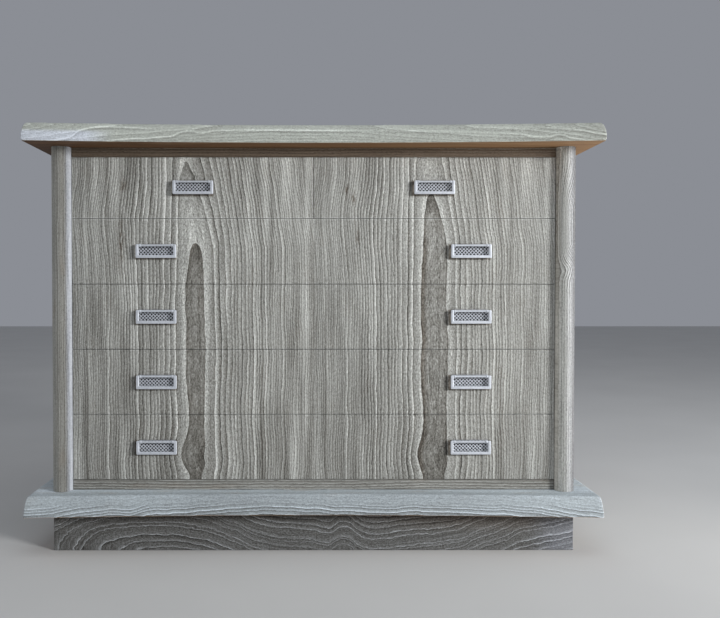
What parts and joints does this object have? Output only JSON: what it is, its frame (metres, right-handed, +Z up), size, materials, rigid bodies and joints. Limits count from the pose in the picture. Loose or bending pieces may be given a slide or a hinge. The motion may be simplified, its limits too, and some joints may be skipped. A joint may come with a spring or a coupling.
{
  "type": "isho clothing chest",
  "caption": "Low wide clothing chest in brushed grey paulownia: moulded top and plinth with bowed-in edges, half-round posts, flush drawer fronts with square bail pulls.",
  "frame": {"origin": "middle of the chest's footprint box, at floor level", "axes": "+X to the viewer's right along the width, -Y towards the viewer (drawer side), +Z up"},
  "size_m": [1.196, 0.48, 0.894],
  "materials": {
    "brushed_grey_wood": "wire-brushed, grey-washed, matt",
    "drawer_front_wood": "wire-brushed, grey-washed, matt",
    "carcass_wood": "planed bare paulownia, matt",
    "handle_metal": "pale matt silver"
  },
  "bodies": {
    "case": {"top_board": "brushed_grey_wood", "case_top_board": "carcass_wood", "left_side_panel": "brushed_grey_wood", "right_side_panel": "brushed_grey_wood", "left_front_post": "brushed_grey_wood", "right_front_post": "brushed_grey_wood", "back_panel": "carcass_wood", "upper_rail": "brushed_grey_wood", "lower_rail": "brushed_grey_wood", "case_bottom_board": "carcass_wood", "dust_shelf_1": "carcass_wood", "dust_shelf_2": "carcass_wood", "dust_shelf_3": "carcass_wood", "dust_shelf_4": "carcass_wood", "centre_divider": "carcass_wood", "drawer_guides": "carcass_wood", "plinth_board": "brushed_grey_wood", "base_front_board": "brushed_grey_wood", "base_side_boards": "brushed_grey_wood", "base_back_board": "brushed_grey_wood"},
    "top_left_drawer": {"top_left_drawer_front": "drawer_front_wood", "top_left_drawer_sides": "carcass_wood", "top_left_drawer_back": "carcass_wood", "top_left_drawer_bottom": "carcass_wood", "top_left_drawer_handle_mounts": "handle_metal"},
    "top_left_drawer_bail": {"top_left_drawer_bail": "handle_metal"},
    "top_right_drawer": {"top_right_drawer_front": "drawer_front_wood", "top_right_drawer_sides": "carcass_wood", "top_right_drawer_back": "carcass_wood", "top_right_drawer_bottom": "carcass_wood", "top_right_drawer_handle_mounts": "handle_metal"},
    "top_right_drawer_bail": {"top_right_drawer_bail": "handle_metal"},
    "second_drawer": {"second_drawer_front": "drawer_front_wood", "second_drawer_sides": "carcass_wood", "second_drawer_back": "carcass_wood", "second_drawer_bottom": "carcass_wood", "second_drawer_handle_mounts": "handle_metal"},
    "second_drawer_left_bail": {"second_drawer_left_bail": "handle_metal"},
    "second_drawer_right_bail": {"second_drawer_right_bail": "handle_metal"},
    "third_drawer": {"third_drawer_front": "drawer_front_wood", "third_drawer_sides": "carcass_wood", "third_drawer_back": "carcass_wood", "third_drawer_bottom": "carcass_wood", "third_drawer_handle_mounts": "handle_metal"},
    "third_drawer_left_bail": {"third_drawer_left_bail": "handle_metal"},
    "third_drawer_right_bail": {"third_drawer_right_bail": "handle_metal"},
    "fourth_drawer": {"fourth_drawer_front": "drawer_front_wood", "fourth_drawer_sides": "carcass_wood", "fourth_drawer_back": "carcass_wood", "fourth_drawer_bottom": "carcass_wood", "fourth_drawer_handle_mounts": "handle_metal"},
    "fourth_drawer_left_bail": {"fourth_drawer_left_bail": "handle_metal"},
    "fourth_drawer_right_bail": {"fourth_drawer_right_bail": "handle_metal"},
    "bottom_drawer": {"bottom_drawer_front": "drawer_front_wood", "bottom_drawer_sides": "carcass_wood", "bottom_drawer_back": "carcass_wood", "bottom_drawer_bottom": "carcass_wood", "bottom_drawer_handle_mounts": "handle_metal"},
    "bottom_drawer_left_bail": {"bottom_drawer_left_bail": "handle_metal"},
    "bottom_drawer_right_bail": {"bottom_drawer_right_bail": "handle_metal"}
  },
  "joints": [
    {"name": "top_left_drawer_slide", "type": "slide", "parent": "case", "child": "top_left_drawer", "axis": [0, -1, 0], "range_m": [0, 0.3]},
    {"name": "top_left_drawer_bail_hinge", "type": "hinge", "parent": "top_left_drawer", "child": "top_left_drawer_bail", "pos_m": [-0.25475, -0.168, 0.78345], "axis": [-1, 0, 0], "range_deg": [-8, 150]},
    {"name": "top_right_drawer_slide", "type": "slide", "parent": "case", "child": "top_right_drawer", "axis": [0, -1, 0], "range_m": [0, 0.3]},
    {"name": "top_right_drawer_bail_hinge", "type": "hinge", "parent": "top_right_drawer", "child": "top_right_drawer_bail", "pos_m": [0.25475, -0.168, 0.78345], "axis": [-1, 0, 0], "range_deg": [-8, 150]},
    {"name": "second_drawer_slide", "type": "slide", "parent": "case", "child": "second_drawer", "axis": [0, -1, 0], "range_m": [0, 0.3]},
    {"name": "second_drawer_left_bail_hinge", "type": "hinge", "parent": "second_drawer", "child": "second_drawer_left_bail", "pos_m": [-0.333, -0.168, 0.64895], "axis": [-1, 0, 0], "range_deg": [-8, 150]},
    {"name": "second_drawer_right_bail_hinge", "type": "hinge", "parent": "second_drawer", "child": "second_drawer_right_bail", "pos_m": [0.333, -0.168, 0.64895], "axis": [-1, 0, 0], "range_deg": [-8, 150]},
    {"name": "third_drawer_slide", "type": "slide", "parent": "case", "child": "third_drawer", "axis": [0, -1, 0], "range_m": [0, 0.3]},
    {"name": "third_drawer_left_bail_hinge", "type": "hinge", "parent": "third_drawer", "child": "third_drawer_left_bail", "pos_m": [-0.333, -0.168, 0.51005], "axis": [-1, 0, 0], "range_deg": [-8, 150]},
    {"name": "third_drawer_right_bail_hinge", "type": "hinge", "parent": "third_drawer", "child": "third_drawer_right_bail", "pos_m": [0.333, -0.168, 0.51005], "axis": [-1, 0, 0], "range_deg": [-8, 150]},
    {"name": "fourth_drawer_slide", "type": "slide", "parent": "case", "child": "fourth_drawer", "axis": [0, -1, 0], "range_m": [0, 0.3]},
    {"name": "fourth_drawer_left_bail_hinge", "type": "hinge", "parent": "fourth_drawer", "child": "fourth_drawer_left_bail", "pos_m": [-0.333, -0.168, 0.3715], "axis": [-1, 0, 0], "range_deg": [-8, 150]},
    {"name": "fourth_drawer_right_bail_hinge", "type": "hinge", "parent": "fourth_drawer", "child": "fourth_drawer_right_bail", "pos_m": [0.333, -0.168, 0.3715], "axis": [-1, 0, 0], "range_deg": [-8, 150]},
    {"name": "bottom_drawer_slide", "type": "slide", "parent": "case", "child": "bottom_drawer", "axis": [0, -1, 0], "range_m": [0, 0.3]},
    {"name": "bottom_drawer_left_bail_hinge", "type": "hinge", "parent": "bottom_drawer", "child": "bottom_drawer_left_bail", "pos_m": [-0.333, -0.168, 0.23245], "axis": [-1, 0, 0], "range_deg": [-8, 150]},
    {"name": "bottom_drawer_right_bail_hinge", "type": "hinge", "parent": "bottom_drawer", "child": "bottom_drawer_right_bail", "pos_m": [0.333, -0.168, 0.23245], "axis": [-1, 0, 0], "range_deg": [-8, 150]}
  ]
}
